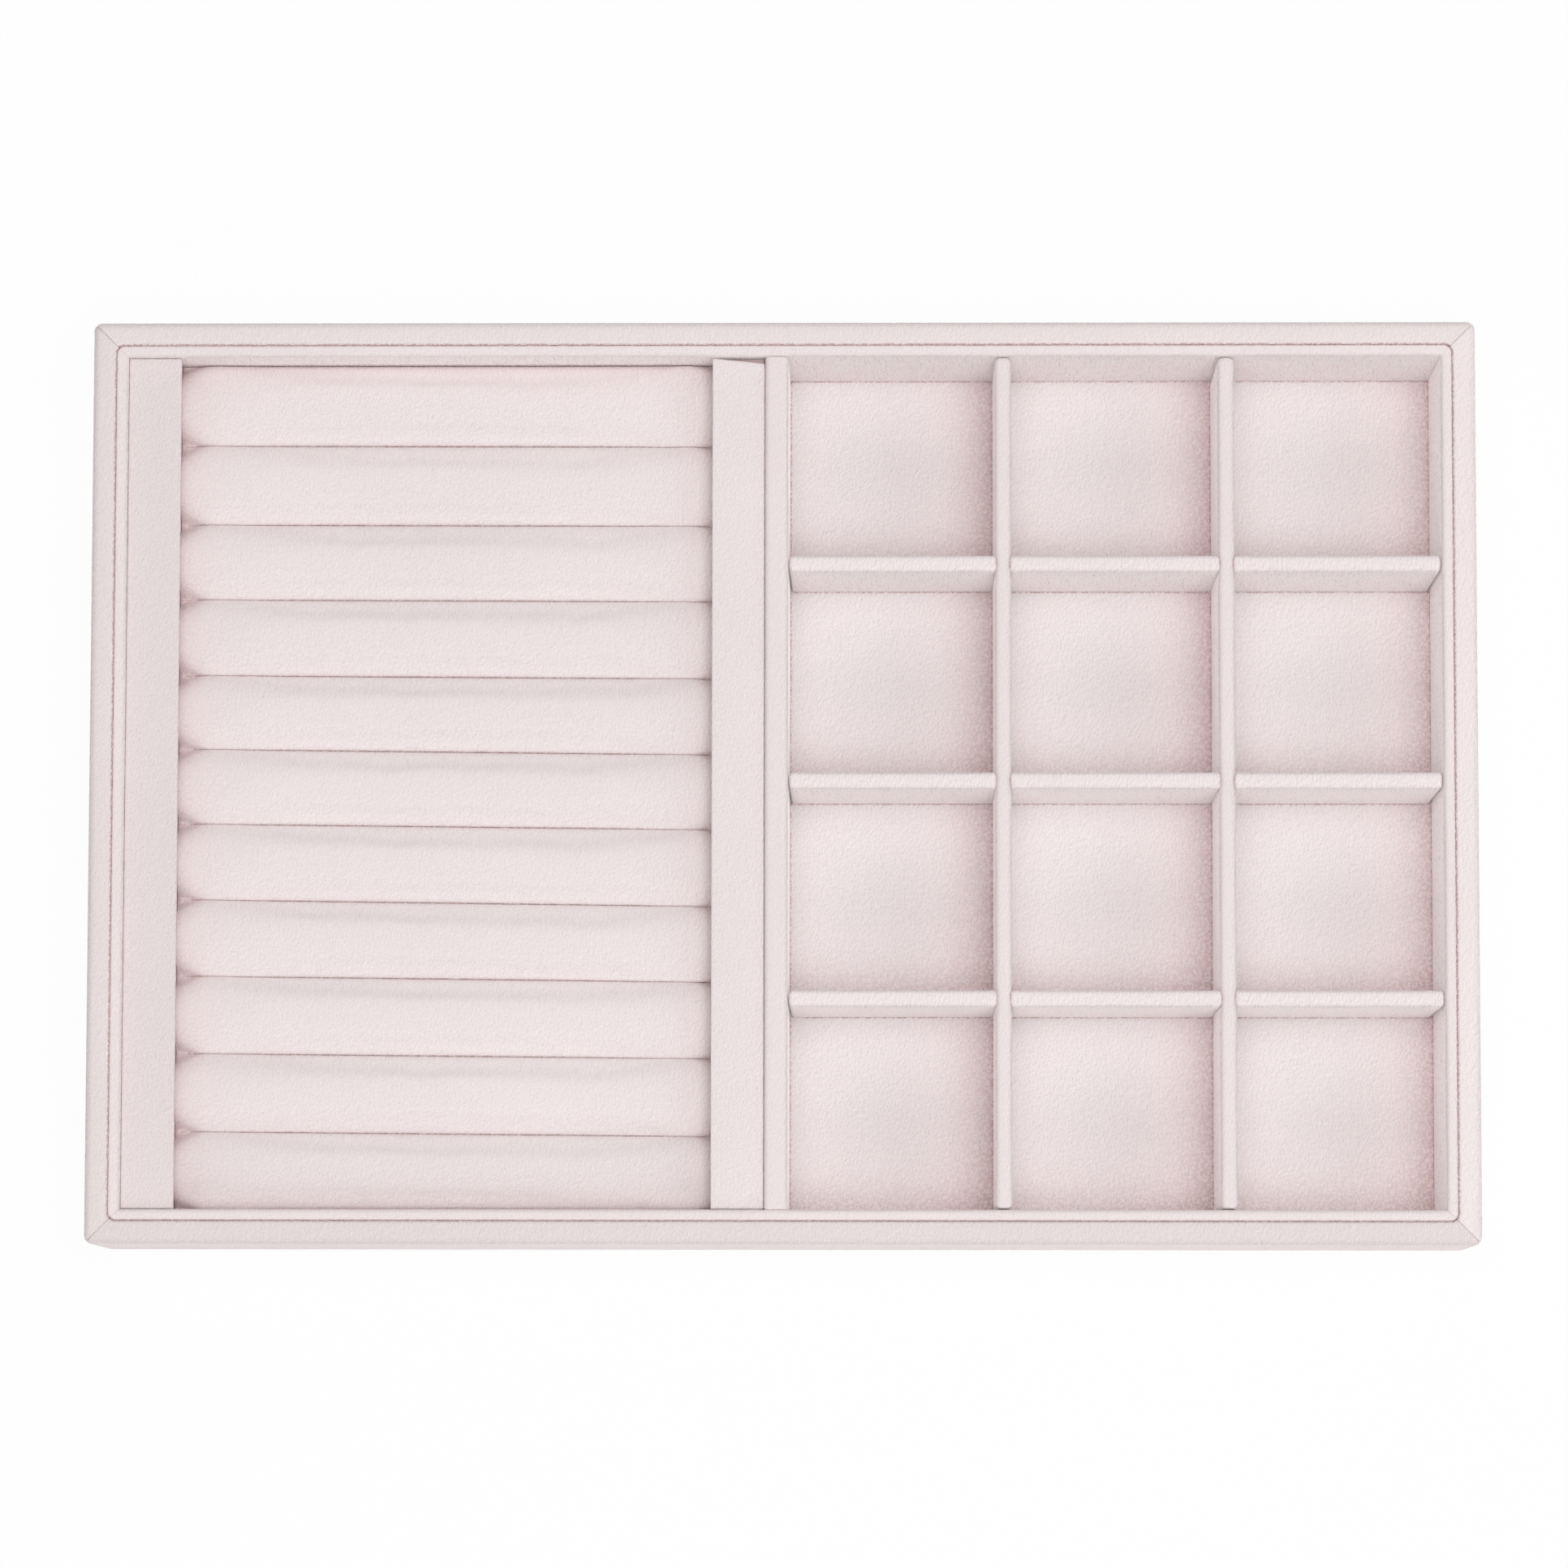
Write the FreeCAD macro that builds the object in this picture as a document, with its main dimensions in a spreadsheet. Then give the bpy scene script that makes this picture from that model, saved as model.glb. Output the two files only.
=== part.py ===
# A velvet-covered jewelry tray: four mitred outer walls on a base board, a thin upright liner inside them,
# a partition, a lift-out insert of soft ring rolls on the left and a lift-out grid of cross-lapped dividers
# on the right. Every board and card that shows is covered with the same velvet.
# Frame: origin at the middle of the underside, +X right along the length, +Y to the back, +Z up. Millimetres.
import FreeCAD
import Part
import Sketcher
import math
import os
import re

ROLLS = 11
COLUMNS = 3
ROWS = 4
LEFT = 1
RIGHT = -1

# What a maker sets by itself
SIZES = (
    ("tray_length", 300, "outside length, left to right"),
    ("tray_width", 200, "outside width, front to back"),
    ("tray_height", 40, "underside to the top of the walls"),
    ("velvet", 0.6, "thickness of the velvet, pile and backing"),
    ("wall_board", 3.8, "thickness of the outer walls' board"),
    ("liner_card", 1.3, "thickness of the liner's card"),
    ("partition_board", 3.8, "thickness of the partition's board"),
    ("divider_card", 2.4, "thickness of the dividers' card"),
    ("base_thickness", 3, "thickness of the base board"),
    ("wall_edge", 0.9, "rounding of the wall boards' long edges"),
    ("corner_edge", 1, "rounding of the wall boards' upright corners"),
    ("liner_edge", 0.5, "rounding of the liner cards' top edges and upright corners"),
    ("partition_edge", 1.2, "rounding of the partition board's top edges"),
    ("divider_edge", 0.9, "rounding of the divider cards' top edges"),
    ("velvet_return", 12, "how far the velvet folds down between wall and liner"),
    ("liner_drop", 0.6, "top of the walls down to the top of the liner and the partition"),
    ("divider_drop", 1, "top of the walls down to the top of the dividers"),
    ("slot_clearance", 0.15, "room on each side in the dividers' slots"),
    ("grid_clearance", 0.3, "room between the divider grid's ends and the bay"),
    ("insert_clearance", 0.3, "room on each side between the ring insert and its bay"),
    ("insert_board", 2, "thickness of the ring insert's board"),
    ("end_block", 10.2, "width of the blocks that hold the rolls' ends"),
    ("strip_width", 11, "width of the velvet-faced strips on the end blocks"),
    ("strip_thickness", 1.6, "thickness of those strips"),
    ("strip_drop", 2.2, "top of the walls down to the top of the strips"),
    ("strip_gap", 0.4, "the strips' ends inside the ring insert's edge"),
    ("roll_length", 117, "length of a ring roll over its sleeve"),
    ("roll_end_gap", 0.3, "room between a roll's end and the end block"),
    ("roll_gap", 0.2, "room between two rolls' flat sides"),
    ("roll_headroom", 10, "top of the walls down to the rolls' crown"),
    ("crown_rise", 6, "height of a roll's crown over its shoulders"),
    ("end_round", 4.5, "length over which a roll's end rounds down"),
    ("end_fall", 4, "how far the crown falls at a roll's end"),
    ("end_draw", 1.2, "how far each side is drawn in at a roll's end"),
    ("cut_margin", 1, "how far the cuts run past the boards that they trim"),
)

# What follows from those sizes
FITS = (
    ("wall_thickness", "wall_board + 2 * velvet"),
    ("liner_thickness", "liner_card + 2 * velvet"),
    ("partition_thickness", "partition_board + 2 * velvet"),
    ("divider_thickness", "divider_card + 2 * velvet"),
    ("wall_inside", "wall_board + velvet"),
    ("liner_back", "wall_thickness"),
    ("liner_face", "wall_thickness + liner_thickness"),
    ("wall_round", "min(wall_edge; 0.45 * wall_board)"),
    ("liner_round", "min(liner_edge; 0.45 * liner_card)"),
    ("partition_round", "min(partition_edge; 0.45 * partition_board)"),
    ("divider_round", "min(divider_edge; 0.45 * divider_card)"),
    ("inside_length", "tray_length - 2 * liner_face"),
    ("inside_width", "tray_width - 2 * liner_face"),
    ("base_top", "velvet + base_thickness"),
    ("floor_top", "base_top + velvet"),
    ("liner_top", "tray_height - liner_drop"),
    ("divider_top", "tray_height - divider_drop"),
    ("lap_level", "(floor_top + divider_top) / 2"),
    ("ring_bay", "roll_length + 2 * (roll_end_gap + end_block + insert_clearance)"),
    ("ring_bay_middle", "(ring_bay - inside_length) / 2"),
    ("partition_middle", "ring_bay - inside_length / 2 + partition_thickness / 2"),
    ("cell_bay_left", "partition_middle + partition_thickness / 2"),
    ("cell_bay", "inside_length / 2 - cell_bay_left"),
    ("cell_bay_middle", "cell_bay_left + cell_bay / 2"),
    ("cell_length", f"(cell_bay - {COLUMNS - 1} * divider_thickness) / {COLUMNS}"),
    ("cell_width", f"(inside_width - {ROWS - 1} * divider_thickness) / {ROWS}"),
    ("insert_length", "ring_bay - 2 * insert_clearance"),
    ("insert_width", "inside_width - 2 * insert_clearance"),
    ("insert_top", "base_top + insert_board"),
    ("strip_top", "tray_height - strip_drop"),
    ("block_top", "strip_top - strip_thickness"),
    ("roll_pitch", f"insert_width / {ROLLS}"),
    ("roll_half", "(roll_pitch - roll_gap) / 2"),
    ("crown_level", "tray_height - roll_headroom"),
)

doc = FreeCAD.newDocument("JewelryTray")
sheet = doc.addObject("Spreadsheet::Sheet", "Sizes")
pieces = []


def fill_sheet():
    """Writes the sizes as plain numbers and the fits as formulas, each under its alias."""
    rows = [(alias, str(value), note) for alias, value, note in SIZES]
    rows += [(alias, "=" + formula, "follows from the sizes") for alias, formula in FITS]
    for row, (alias, content, note) in enumerate(rows, start=1):
        sheet.set(f"A{row}", alias)
        sheet.set(f"B{row}", content)
        sheet.set(f"C{row}", note)
        sheet.setAlias(f"B{row}", alias)
    doc.recompute()


def cells(formula):
    """A formula whose bare words are cells of the sheet, as the expression engine reads it."""
    return re.sub(r"\b[a-z_]+\b", lambda word: "Sizes." + word.group(), formula)


def bind(thing, path, formula):
    thing.setExpression(path, cells(formula))


def value(formula):
    return float(sheet.evalExpression(cells(formula)))


def named(kind, name):
    piece = doc.addObject(kind, name)
    piece.Label = name
    pieces.append(piece)
    return piece


def place(piece, x="0", y="0", z="0", turn=0):
    piece.Placement = FreeCAD.Placement(FreeCAD.Vector(), FreeCAD.Rotation(FreeCAD.Vector(0, 0, 1), turn))
    bind(piece, "Placement.Base.x", x)
    bind(piece, "Placement.Base.y", y)
    bind(piece, "Placement.Base.z", z)


def edge_between(start, end, turn, radius):
    """A straight edge, or an arc of under a half circle that turns left or right on its way."""
    if turn is None:
        return Part.LineSegment(start, end)
    chord = end - start
    across = FreeCAD.Vector(-chord.y, chord.x, 0).normalize()
    reach = math.sqrt(max(radius**2 - (chord.Length / 2) ** 2, 0))
    centre = (start + end) / 2 + across * reach * turn
    first, last = (start, end) if turn == LEFT else (end, start)
    angles = [math.atan2(point.y - centre.y, point.x - centre.x) for point in (first, last)]
    return Part.ArcOfCircle(Part.Circle(centre, FreeCAD.Vector(0, 0, 1), radius), *angles)


def outline(sketch, corners):
    """Draws a closed outline. A corner is (x, y), or (x, y, turn, radius) where an arc leads on from it."""
    full = [(*corner, None, "0")[:4] for corner in corners]
    points = [FreeCAD.Vector(value(x), value(y), 0) for x, y, turn, radius in full]
    base = sketch.GeometryCount
    count = len(full)
    for index, (x, y, turn, radius) in enumerate(full):
        sketch.addGeometry(edge_between(points[index], points[(index + 1) % count], turn, value(radius)))
    for index, (x, y, turn, radius) in enumerate(full):
        here = (base + index, 2 if turn == RIGHT else 1)
        before = (index - 1) % count
        arrival = (base + before, 1 if full[before][2] == RIGHT else 2)
        sketch.addConstraint(Sketcher.Constraint("Coincident", *arrival, *here))
        across = sketch.addConstraint(Sketcher.Constraint("DistanceX", -1, 1, *here, points[index].x))
        bind(sketch, f"Constraints[{across}]", x)
        up = sketch.addConstraint(Sketcher.Constraint("DistanceY", -1, 1, *here, points[index].y))
        bind(sketch, f"Constraints[{up}]", y)
        if turn is not None:
            bend = sketch.addConstraint(Sketcher.Constraint("Radius", base + index, value(radius)))
            bind(sketch, f"Constraints[{bend}]", radius)


def sketch_on(body, plane, outlines, offset="0"):
    sketch = body.newObject("Sketcher::SketchObject", body.Name + "_outline")
    support = next(feature for feature in body.Origin.OriginFeatures if feature.Role == plane)
    sketch.AttachmentSupport = [(support, "")]
    sketch.MapMode = "FlatFace"
    bind(sketch, "AttachmentOffset.Base.z", offset)
    for corners in outlines:
        outline(sketch, corners)
    return sketch


def bar(body, kind, corners, length):
    """A bar along X, added or cut away, centred, with its outline on the YZ plane."""
    feature = body.newObject(kind, body.Name + "_bar")
    feature.Profile = sketch_on(body, "YZ_Plane", [corners])
    feature.SideType = "Symmetric"
    bind(feature, "Length", length)


def pad(body, corners, length):
    bar(body, "PartDesign::Pad", corners, length)


def cut_through(body, plane, outlines):
    """Cuts outlines right through the body, both ways from the plane."""
    feature = body.newObject("PartDesign::Pocket", body.Name + "_cut")
    feature.Profile = sketch_on(body, plane, outlines)
    feature.SideType = "Symmetric"
    feature.Type = "ThroughAll"


def mitre(body, run, face, inside, rounding):
    """Trims both ends of a board at 45 degrees, and rounds the upright corner of its outer face."""
    centre = f"({face} + {rounding})"
    half_way = f"{math.sqrt(0.5)} * ({rounding})"
    deep = f"({inside} + cut_margin)"
    beyond = f"({run} / 2 + cut_margin)"
    start = f"({run} / 2 - {centre})"
    end_cuts = []
    for sign, turn in (("", LEFT), ("-", RIGHT)):
        end_cuts.append([
            (f"{sign}{start}", face, turn, rounding),
            (f"{sign}({start} + {half_way})", f"{centre} - {half_way}"),
            (f"{sign}({run} / 2 - {deep})", deep),
            (f"{sign}{beyond}", deep),
            (f"{sign}{beyond}", f"{face} - cut_margin"),
            (f"{sign}{start}", f"{face} - cut_margin"),
        ])
    cut_through(body, "XY_Plane", end_cuts)


def board_outline(back, front, low, high, rounding):
    """Section of a board that stands on edge, with its two top edges rounded."""
    return [
        (back, low),
        (front, low),
        (front, f"{high} - {rounding}", LEFT, rounding),
        (f"{front} - {rounding}", high),
        (f"{back} + {rounding}", high, LEFT, rounding),
        (back, f"{high} - {rounding}"),
    ]


def wall_velvet_outline():
    """Velvet from under the wall board, up its outer face, over its top and down behind the liner."""
    over = "(wall_round + velvet)"
    fold = "tray_height - velvet_return"
    return [
        ("wall_inside", "0"),
        (over, "0", RIGHT, over),
        ("0", over),
        ("0", f"tray_height - {over}", RIGHT, over),
        (over, "tray_height"),
        (f"wall_thickness - {over}", "tray_height", RIGHT, over),
        ("wall_thickness", f"tray_height - {over}"),
        ("wall_thickness", fold),
        ("wall_inside", fold),
        ("wall_inside", f"tray_height - {over}", LEFT, "wall_round"),
        (f"wall_thickness - {over}", "tray_height - velvet"),
        (over, "tray_height - velvet", LEFT, "wall_round"),
        ("velvet", f"tray_height - {over}"),
        ("velvet", over, LEFT, "wall_round"),
        (over, "velvet"),
        ("wall_inside", "velvet"),
    ]


def wall_board_outline():
    """Section of a wall board: all but its lower inside edge, which meets the base board, is rounded."""
    over = "(wall_round + velvet)"
    return [
        (over, "velvet"),
        ("wall_inside", "velvet"),
        ("wall_inside", f"tray_height - {over}", LEFT, "wall_round"),
        (f"wall_thickness - {over}", "tray_height - velvet"),
        (over, "tray_height - velvet", LEFT, "wall_round"),
        ("velvet", f"tray_height - {over}"),
        ("velvet", over, LEFT, "wall_round"),
    ]


def liner_velvet_outline():
    """Velvet up the liner's inside face, over its top and down between it and the wall."""
    over = "(liner_round + velvet)"
    fold = "liner_top - velvet_return"
    return [
        ("liner_face - velvet", "base_top"),
        ("liner_face", "base_top"),
        ("liner_face", f"liner_top - {over}", LEFT, over),
        (f"liner_face - {over}", "liner_top"),
        (f"liner_back + {over}", "liner_top", LEFT, over),
        ("liner_back", f"liner_top - {over}"),
        ("liner_back", fold),
        ("liner_back + velvet", fold),
        ("liner_back + velvet", f"liner_top - {over}", RIGHT, "liner_round"),
        (f"liner_back + {over}", "liner_top - velvet"),
        (f"liner_face - {over}", "liner_top - velvet", RIGHT, "liner_round"),
        ("liner_face - velvet", f"liner_top - {over}"),
    ]


def saddle_outline(thickness, low, high, rounding):
    """Velvet saddled over a board: down both faces, with the same cover over the rounded top."""
    over = f"({rounding} + velvet)"
    half = f"({thickness} / 2)"
    return [
        (half, low),
        (half, f"{high} - {over}", LEFT, over),
        (f"{half} - {over}", high),
        (f"{over} - {half}", high, LEFT, over),
        (f"-{half}", f"{high} - {over}"),
        (f"-{half}", low),
        (f"velvet - {half}", low),
        (f"velvet - {half}", f"{high} - {over}", RIGHT, rounding),
        (f"{over} - {half}", f"{high} - velvet"),
        (f"{half} - {over}", f"{high} - velvet", RIGHT, rounding),
        (f"{half} - velvet", f"{high} - {over}"),
        (f"{half} - velvet", low),
    ]


def block(name, length, width, height, x, y, z):
    """A plain slab, given by its middle in X and Y and its underside."""
    piece = named("Part::Box", name)
    bind(piece, "Length", length)
    bind(piece, "Width", width)
    bind(piece, "Height", height)
    place(piece, f"{x} - ({length}) / 2", f"{y} - ({width}) / 2", z)


def base():
    span = "tray_length - 2 * wall_inside"
    depth = "tray_width - 2 * wall_inside"
    block("base_board", span, depth, "base_thickness", "0", "0", "velvet")
    block("base_felt", span, depth, "velvet", "0", "0", "0")
    block("floor_velvet", "cell_bay", "inside_width", "velvet", "cell_bay_middle", "0", "base_top")


def wall_and_liner(side, run, x, y, turn):
    """One side of the tray: the covered outer wall and the covered liner that stands against it."""
    wall_board = named("PartDesign::Body", f"{side}_wall_board")
    pad(wall_board, wall_board_outline(), f"{run} - 2 * velvet")
    mitre(wall_board, run, "velvet", "wall_inside", "corner_edge")
    wall_velvet = named("PartDesign::Body", f"{side}_wall_velvet")
    pad(wall_velvet, wall_velvet_outline(), run)
    mitre(wall_velvet, run, "0", "wall_thickness", "(corner_edge + velvet)")
    liner_card = named("PartDesign::Body", f"{side}_liner_card")
    card_back = "(liner_back + velvet)"
    card_front = "(liner_face - velvet)"
    card_top = "(liner_top - velvet)"
    pad(liner_card, board_outline(card_back, card_front, "base_top", card_top, "liner_round"),
        f"{run} - 2 * {card_back}")
    mitre(liner_card, run, card_back, card_front, "liner_edge")
    liner_velvet = named("PartDesign::Body", f"{side}_liner_velvet")
    pad(liner_velvet, liner_velvet_outline(), f"{run} - 2 * liner_back")
    mitre(liner_velvet, run, "liner_back", "liner_face", "(liner_edge + velvet)")
    for piece in (wall_board, wall_velvet, liner_card, liner_velvet):
        place(piece, x, y, turn=turn)


def slot_outlines(middles, low, high):
    half = "(divider_thickness / 2 + slot_clearance)"
    return [
        [(f"{middle} - {half}", low), (f"{middle} + {half}", low),
         (f"{middle} + {half}", high), (f"{middle} - {half}", high)]
        for middle in middles
    ]


def covered_upright(name, stuff, thickness, rounding, low, high, length, slots, x, y, turn):
    """A board or card on edge with velvet saddled over it, and the same slots cut through both."""
    core = named("PartDesign::Body", f"{name}_{stuff}")
    half = f"({thickness} / 2 - velvet)"
    pad(core, board_outline(f"-{half}", half, low, f"({high} - velvet)", rounding), length)
    cover = named("PartDesign::Body", f"{name}_velvet")
    pad(cover, saddle_outline(thickness, low, high, rounding), length)
    for piece in (core, cover):
        if slots:
            cut_through(piece, "XZ_Plane", slots)
        place(piece, x, y, turn=turn)


def partition():
    covered_upright("partition", "board", "partition_thickness", "partition_round", "base_top", "liner_top",
                    "inside_width", [], "partition_middle", "0", 90)


def divider_grid():
    """Long dividers with slots open below, lapped over cross dividers with slots open above."""
    columns = [f"(cell_bay_left + {k + 1} * cell_length + {k + 0.5} * divider_thickness)"
               for k in range(COLUMNS - 1)]
    rows = [f"({k + 1} * cell_width + {k + 0.5} * divider_thickness - inside_width / 2)"
            for k in range(ROWS - 1)]
    below = slot_outlines(rows, "floor_top - cut_margin", "lap_level + slot_clearance")
    above = slot_outlines([f"({column} - cell_bay_middle)" for column in columns],
                          "lap_level - slot_clearance", "divider_top + cut_margin")
    for name, column in zip(("left", "right"), columns):
        covered_upright(f"long_divider_{name}", "card", "divider_thickness", "divider_round", "floor_top",
                        "divider_top", "inside_width - 2 * grid_clearance", below, column, "0", 90)
    for name, row in zip(("front", "middle", "back"), rows):
        covered_upright(f"cross_divider_{name}", "card", "divider_thickness", "divider_round", "floor_top",
                        "divider_top", "cell_bay - 2 * grid_clearance", above, "cell_bay_middle", row, 0)


def roll_outline(half, crown):
    """Section of a ring roll: flat sides from the insert's board up to the shoulders, and a crowned top."""
    rise = f"(crown_rise * {half} / roll_half)"
    return [
        (f"-{half}", "insert_top"),
        (half, "insert_top"),
        (half, f"{crown} - {rise}", LEFT, f"({half} * {half} + {rise} * {rise}) / (2 * {rise})"),
        (f"-{half}", f"{crown} - {rise}"),
    ]


def sleeve_sections(body):
    """Sections of a sleeve from end to end: a quarter round at each end lowers the crown and draws in the sides."""
    rounding = [(1 - math.cos(math.radians(angle)), 1 - math.sin(math.radians(angle))) for angle in (0, 45, 90)]
    stations = [(-1, *step) for step in rounding] + [(1, *step) for step in reversed(rounding)]
    sections = []
    for side, along, fall in stations:
        corners = roll_outline(f"(roll_half - {fall} * end_draw)", f"(crown_level - {fall} * end_fall)")
        offset = f"{side} * (roll_length / 2 - {along} * end_round)"
        sections.append(sketch_on(body, "YZ_Plane", [corners], offset))
    return sections


def ring_rolls():
    """Foam bars side by side, cut square, each in a velvet sleeve that is open only underneath, where it is glued
    down. The sleeve's tucked ends fill its rounded ends past the foam."""
    foam_outline = roll_outline("(roll_half - velvet)", "(crown_level - velvet)")
    foam_length = "roll_length - 2 * end_round"
    for index in range(ROLLS):
        foam = named("PartDesign::Body", f"ring_roll_{index + 1:02d}_foam")
        pad(foam, foam_outline, foam_length)
        sleeve = named("PartDesign::Body", f"ring_roll_{index + 1:02d}_sleeve")
        sections = sleeve_sections(sleeve)
        loft = sleeve.newObject("PartDesign::AdditiveLoft", sleeve.Name + "_loft")
        loft.Profile = sections[0]
        loft.Sections = sections[1:]
        loft.Ruled = True
        bar(sleeve, "PartDesign::Pocket", foam_outline, foam_length)
        for piece in (foam, sleeve):
            place(piece, "ring_bay_middle", f"insert_width / 2 - {index + 0.5} * roll_pitch")


def ring_insert():
    """The board that carries the rolls, the blocks at their ends and the strips on top of the blocks."""
    block("insert_board", "insert_length", "insert_width", "insert_board", "ring_bay_middle", "0", "base_top")
    for name, side in (("left", "-1"), ("right", "1")):
        block_middle = f"ring_bay_middle + {side} * (insert_length - end_block) / 2"
        block(f"{name}_end_block", "end_block", "insert_width", "block_top - insert_top",
              block_middle, "0", "insert_top")
        strip_middle = f"ring_bay_middle + {side} * (insert_length - strip_width) / 2"
        block(f"{name}_cover_strip", "strip_width", "insert_width - 2 * strip_gap", "strip_thickness",
              strip_middle, "0", "block_top")
    ring_rolls()


def check_document():
    doc.recompute()
    for thing in doc.Objects:
        if {"Invalid", "Error"} & set(thing.State):
            raise RuntimeError(f"{thing.Label} did not build: {thing.State}")
    for piece in pieces:
        if piece.Shape.isNull() or not piece.Shape.isValid() or len(piece.Shape.Solids) != 1:
            raise RuntimeError(f"{piece.Label} is not one sound solid")


fill_sheet()
base()
wall_and_liner("front", "tray_length", "0", "-tray_width / 2", 0)
wall_and_liner("right", "tray_width", "tray_length / 2", "0", 90)
wall_and_liner("back", "tray_length", "0", "tray_width / 2", 180)
wall_and_liner("left", "tray_width", "-tray_length / 2", "0", 270)
partition()
ring_insert()
divider_grid()
check_document()
os.makedirs("parts", exist_ok=True)
for piece in pieces:
    piece.Shape.exportStep(f"parts/{piece.Label}.step")
print(len(pieces), "pieces written")
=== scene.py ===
import math

import bmesh
import bpy
import numpy as np
from mathutils import Matrix, Vector


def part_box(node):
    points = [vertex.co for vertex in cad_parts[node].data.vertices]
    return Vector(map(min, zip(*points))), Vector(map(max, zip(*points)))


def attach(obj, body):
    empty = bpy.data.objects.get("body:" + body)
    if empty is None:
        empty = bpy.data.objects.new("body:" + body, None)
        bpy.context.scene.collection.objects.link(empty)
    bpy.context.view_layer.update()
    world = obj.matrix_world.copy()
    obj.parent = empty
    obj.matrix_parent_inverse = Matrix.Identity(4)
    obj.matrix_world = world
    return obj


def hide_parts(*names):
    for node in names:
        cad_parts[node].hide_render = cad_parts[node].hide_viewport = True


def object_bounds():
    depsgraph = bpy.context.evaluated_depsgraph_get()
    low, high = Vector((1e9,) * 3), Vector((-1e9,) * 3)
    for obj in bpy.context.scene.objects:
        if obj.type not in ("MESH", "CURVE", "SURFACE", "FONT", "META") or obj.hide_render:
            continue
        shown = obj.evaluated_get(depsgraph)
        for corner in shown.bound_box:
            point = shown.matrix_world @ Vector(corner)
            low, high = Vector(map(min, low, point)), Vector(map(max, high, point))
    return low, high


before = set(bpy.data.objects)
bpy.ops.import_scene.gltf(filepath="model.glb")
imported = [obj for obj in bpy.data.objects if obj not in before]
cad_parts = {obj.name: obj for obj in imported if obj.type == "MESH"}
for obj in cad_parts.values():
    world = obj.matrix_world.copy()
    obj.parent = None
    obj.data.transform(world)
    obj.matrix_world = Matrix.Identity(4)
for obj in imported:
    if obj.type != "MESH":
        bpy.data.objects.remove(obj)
cad_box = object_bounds()
tray_length, tray_width, _ = cad_box[1] - cad_box[0]

MM = 0.001
SIDES = ("front", "right", "back", "left")
LONG_DIVIDERS = [f"long_divider_{place}_velvet" for place in ("left", "right")]
CROSS_DIVIDERS = [f"cross_divider_{place}_velvet" for place in ("front", "middle", "back")]
ROLLS = 11

# The velvet skin, how finely it is drawn, and how it wraps the walls and the liners
VELVET_THICKNESS = 0.6 * MM
VELVET_RETURN = 12 * MM
COVER_STEP = 0.6 * MM
ARC_STEPS = 5
WALL_EDGES = (0.9 * MM, 1.7 * MM, 0.65 * MM)
WALL_SECTION_STEP = 1.2 * MM
# Share of painted sheen and painted rosy shade on the walls' outer faces, as upright faces
WALL_UPRIGHT_PAINTED_LIGHT = 0.6
LINER_EDGES = (0.55 * MM, 1.0 * MM)
LINER_SECTION_STEP = 0.9 * MM
LINER_GAP = 0.03 * MM
CORNER_BEND = 1.8 * MM

# The covers' cut edges in the mitres
WALL_CUT_EDGE = 0.28 * MM
LINER_CUT_EDGE = 0.04 * MM
CUT_RUNS = np.array((0.015, 0.06, 0.15, 0.3, 0.5, 0.8, 1.2, 1.8)) * MM
CUT_DRAW = 0.7
CUT_FOLD_LENGTH = 0.12 * MM

# The partition's and the dividers' covers
PARTITION_EDGE = 1.0 * MM
PARTITION_END = 0.5 * MM
LONG_EDGE = 1.1 * MM
LONG_END = 1.0 * MM
CROSS_EDGE = 1.0 * MM
CROSS_END = 0.9 * MM
CROSS_REACH = 0.35 * MM
CROSS_TUCK = 0.7
TUCK_LENGTH = 0.4 * MM
SADDLE_SECTION_STEP = 1.4
SADDLE_END_RUNS = np.array((0, 0.06, 0.15, 0.3, 0.5, 0.75, 1.0))
SADDLE_END_DROP = 0.8
PINCH = 0.4 * MM
PINCH_LENGTH = 2.4 * MM
PINCH_DEPTH = 16 * MM
PINCH_DROP = 0.35

# The compartments' floor
FLOOR_STEP = 0.8 * MM
FLOOR_BESIDE = np.array((-0.8, -0.4, -0.15, 0, 0.15, 0.4, 0.8)) * MM
FLOOR_CLEAR = 0.2 * MM
FLOOR_SEAM_FOLD = 0.7
# Painted shadow, darker, and painted rosy shade at the right and front edges of each compartment
FLOOR_PAINTED_SHADOW = 0.32
FLOOR_PAINTED_SHADOW_LENGTH = 5 * MM
SHADE_LENGTH = 8 * MM
SHADE_FRONT = 0.5

# The strips at the ends of the rolls
STRIP_SPREAD = 0.2 * MM
STRIP_SPREAD_LONG = 0.55 * MM
STRIP_EDGES = (0.6 * MM, 0.3 * MM)
STRIP_SECTION_STEP = 0.8 * MM
STRIP_END = 0.5 * MM
STRIP_END_RUNS = np.array((0, 0.05, 0.15, 0.3, 0.5)) * MM
STRIP_ASKEW = 1.2 * MM
ASKEW_SHARPNESS = 20

# The ring rolls and their padding
ROLL_RISE = 3.2 * MM
ROLL_STEP = 2.0 * MM
ROLL_END_ROUND = 8.0 * MM
ROLL_END_RUNS = np.array((0, 0.03, 0.1, 0.2, 0.33, 0.48, 0.64, 0.82, 1.0)) * ROLL_END_ROUND
ROLL_END_CUT = 0.55
ROLL_END_SINK = (0.75, 0.3)
ROLL_END_DROP = 2.0 * MM
ROLL_END_RINGS = (0.55, 0.27)
ROLL_OVER_POINTS = 21
ROLL_SIDE_POINTS = 4
ROLL_UNDER_POINTS = 4
ROLL_SEAM_FOLD = 0.8
# Painted shade, darker rose, in the corners at the rolls' ends and along the ends
ROLL_END_PAINTED_SHADOW = (0.05, 0.4)
ROLL_REACH = 0.28 * MM
ROLL_SLACK = 0.6 * MM
GLUED_HEIGHT = 1.5 * MM
PADDING_FRAMES = 20
PADDING_QUALITY = 6
PADDING_PRESSURE = 4.0
PADDING_CAP = 0.6 * MM
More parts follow.
